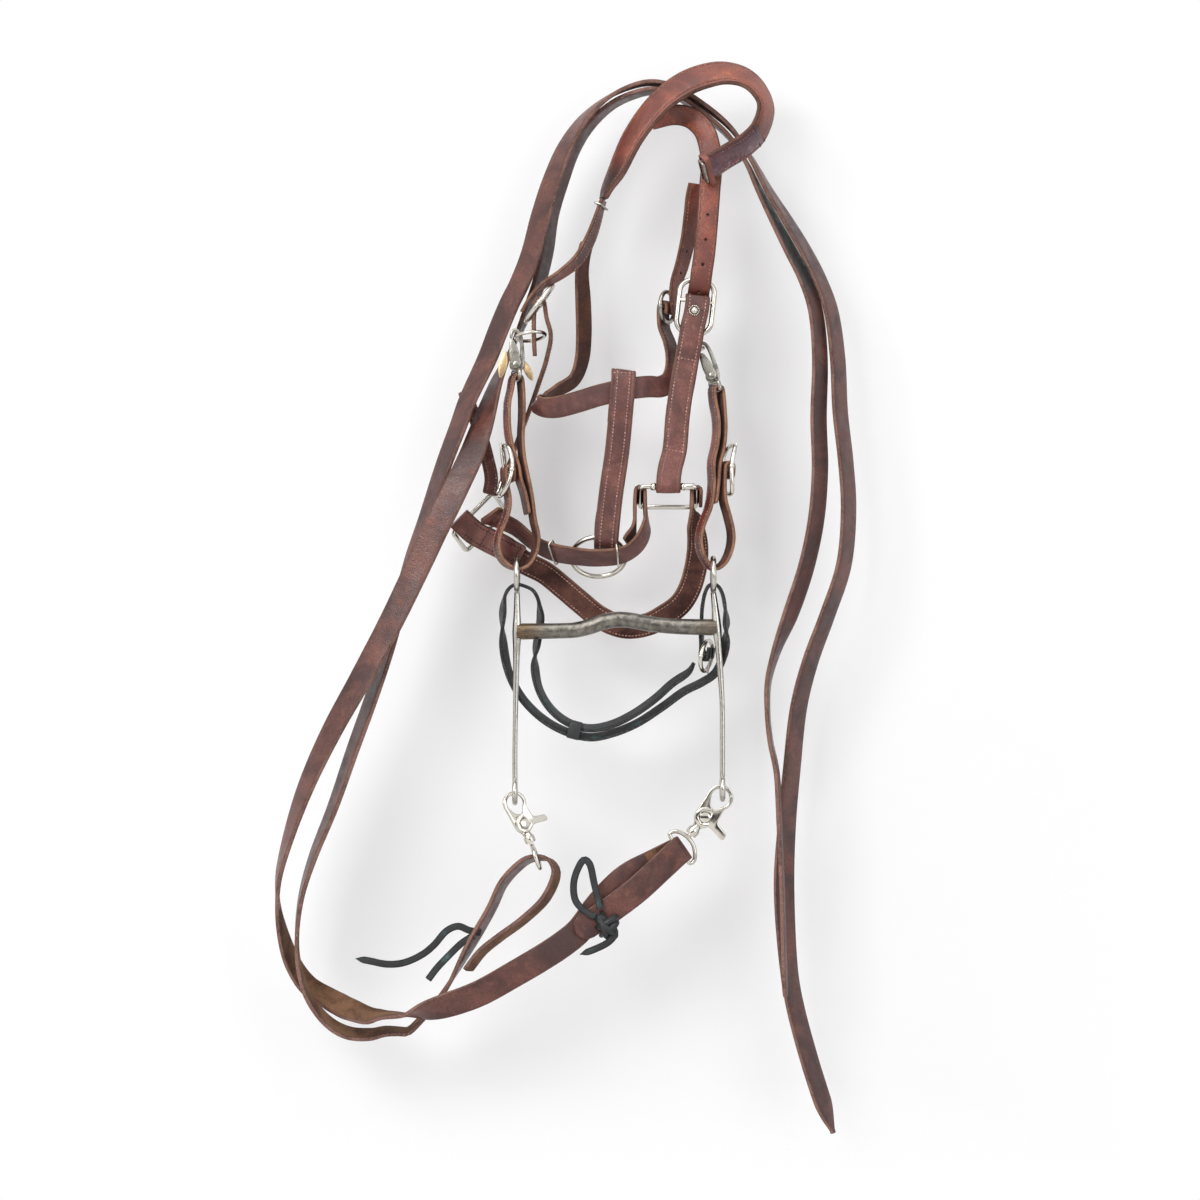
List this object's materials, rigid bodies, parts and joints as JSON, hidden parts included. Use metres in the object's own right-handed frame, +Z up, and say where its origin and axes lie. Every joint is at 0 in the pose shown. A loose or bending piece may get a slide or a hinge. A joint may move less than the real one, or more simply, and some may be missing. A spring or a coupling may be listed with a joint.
{
  "type": "halter bridle",
  "caption": "Leather halter bridle with a padded crown, square rings, a curb bit in two hangers, a curb strap and split reins with swivel snaps, hung up by its crown.",
  "frame": {"origin": "the place under the crown where a bridle hook holds it", "axes": "+X to the viewer's right as hung, +Y away from the viewer, +Z up"},
  "size_m": [0.4187, 0.0625, 0.7745],
  "materials": {
    "crown_leather": "padded crown leather, reddish brown, worn satin",
    "halter_leather": "stitched harness leather, satin",
    "rein_leather": "dark maroon-brown latigo, satin",
    "black_leather": "blackened leather with worn faces",
    "nickel": "nickel-plated, polished, lightly worn",
    "steel": "bright pitted steel",
    "iron": "aged grey iron with brown rust at one end"
  },
  "bodies": {
    "halter": {"crown_pad": "crown_leather", "head_strap": "crown_leather", "crown_loop_left": "nickel", "cheek_billet_left": "halter_leather", "crown_buckle_left": "nickel", "side_strap_left": "halter_leather", "square_tab_left": "halter_leather", "billet_right_rear": "crown_leather", "buckle_right_rear": "nickel", "throatlatch": "halter_leather", "jaw_strap": "halter_leather", "buckle_right_front": "nickel", "cheek_strap_right": "halter_leather", "rivet_right": "nickel", "square_right": "nickel", "square_left": "nickel", "chin_strap": "halter_leather", "chin_ring": "nickel", "chin_wire_left": "nickel", "chin_wire_right": "nickel", "noseband": "halter_leather", "halter_ring_left": "nickel", "halter_ring_right": "nickel", "hanger_snap_left": "nickel", "hanger_snap_right": "nickel", "hanger_strap_left": "halter_leather", "hanger_strap_right": "halter_leather", "hanger_buckle_left": "nickel", "hanger_buckle_right": "nickel", "rein_a": "rein_leather", "rein_b": "rein_leather"},
    "bit": {"shank_left": "steel", "shank_right": "steel", "mouthpiece": "iron", "curb_strap": "black_leather", "curb_keeper": "black_leather", "curb_buckle": "nickel", "rein_end_right": "rein_leather", "rein_end_left": "rein_leather", "lace_left": "black_leather", "lace_left_tail": "black_leather", "lace_knot_right": "black_leather", "lace_right": "black_leather", "lace_right_tail": "black_leather", "rein_swivel_right": "nickel", "rein_swivel_left": "nickel"},
    "gate_left": {"hanger_gate_left": "nickel"},
    "gate_right": {"hanger_gate_right": "nickel"},
    "tongue_left": {"hanger_tongue_left": "nickel"},
    "tongue_right": {"hanger_tongue_right": "nickel"},
    "tongue_curb": {"curb_tongue": "nickel"},
    "snap_right": {"rein_snap_right": "nickel"},
    "snap_left": {"rein_snap_left": "nickel"},
    "jaw_right": {"rein_jaw_right": "nickel"},
    "jaw_left": {"rein_jaw_left": "nickel"}
  },
  "joints": [
    {"name": "bit_swing", "type": "hinge", "parent": "halter", "child": "bit", "pos_m": [-0.054, -0.02, -0.329], "axis": [1, 0, 0], "range_deg": [-10, 15]},
    {"name": "gate_left_hinge", "type": "hinge", "parent": "halter", "child": "gate_left", "pos_m": [-0.1245, -0.011, -0.1785], "axis": [0, 1, 0], "range_deg": [0, 12], "stiffness_Nm_per_rad": 0.002, "springref_deg": -11.46},
    {"name": "gate_right_hinge", "type": "hinge", "parent": "halter", "child": "gate_right", "pos_m": [0.016, -0.004, -0.186], "axis": [0, 1, 0], "range_deg": [0, 12], "stiffness_Nm_per_rad": 0.002, "springref_deg": -11.46},
    {"name": "tongue_left_hinge", "type": "hinge", "parent": "halter", "child": "tongue_left", "pos_m": [-0.1305, -0.016, -0.254], "axis": [-0.3011, 0.9536, 0], "range_deg": [-40, 0]},
    {"name": "tongue_right_hinge", "type": "hinge", "parent": "halter", "child": "tongue_right", "pos_m": [0.026, -0.0145, -0.2515], "axis": [-0.3011, 0.9536, 0], "range_deg": [0, 40]},
    {"name": "tongue_curb_hinge", "type": "hinge", "parent": "bit", "child": "tongue_curb", "pos_m": [0.0115, -0.0095, -0.387], "axis": [0.4512, 0.8924, 0], "range_deg": [-20, 0]},
    {"name": "snap_right_swivel", "type": "hinge", "parent": "bit", "child": "snap_right", "pos_m": [0.01, -0.02, -0.502], "axis": [0.6451, 0, 0.7641], "range_deg": [-15, 15]},
    {"name": "snap_left_swivel", "type": "hinge", "parent": "bit", "child": "snap_left", "pos_m": [-0.1194, -0.02, -0.5066], "axis": [-0.3697, 0, 0.9292], "range_deg": [-10, 10]},
    {"name": "jaw_right_hinge", "type": "hinge", "parent": "snap_right", "child": "jaw_right", "pos_m": [0.01, -0.02, -0.502], "axis": [0, 1, 0], "range_deg": [0, 25], "stiffness_Nm_per_rad": 0.005, "springref_deg": -17.19},
    {"name": "jaw_left_hinge", "type": "hinge", "parent": "snap_left", "child": "jaw_left", "pos_m": [-0.1194, -0.02, -0.5066], "axis": [-0.4646, 0.866, -0.1849], "range_deg": [0, 25], "stiffness_Nm_per_rad": 0.005, "springref_deg": -17.19}
  ]
}
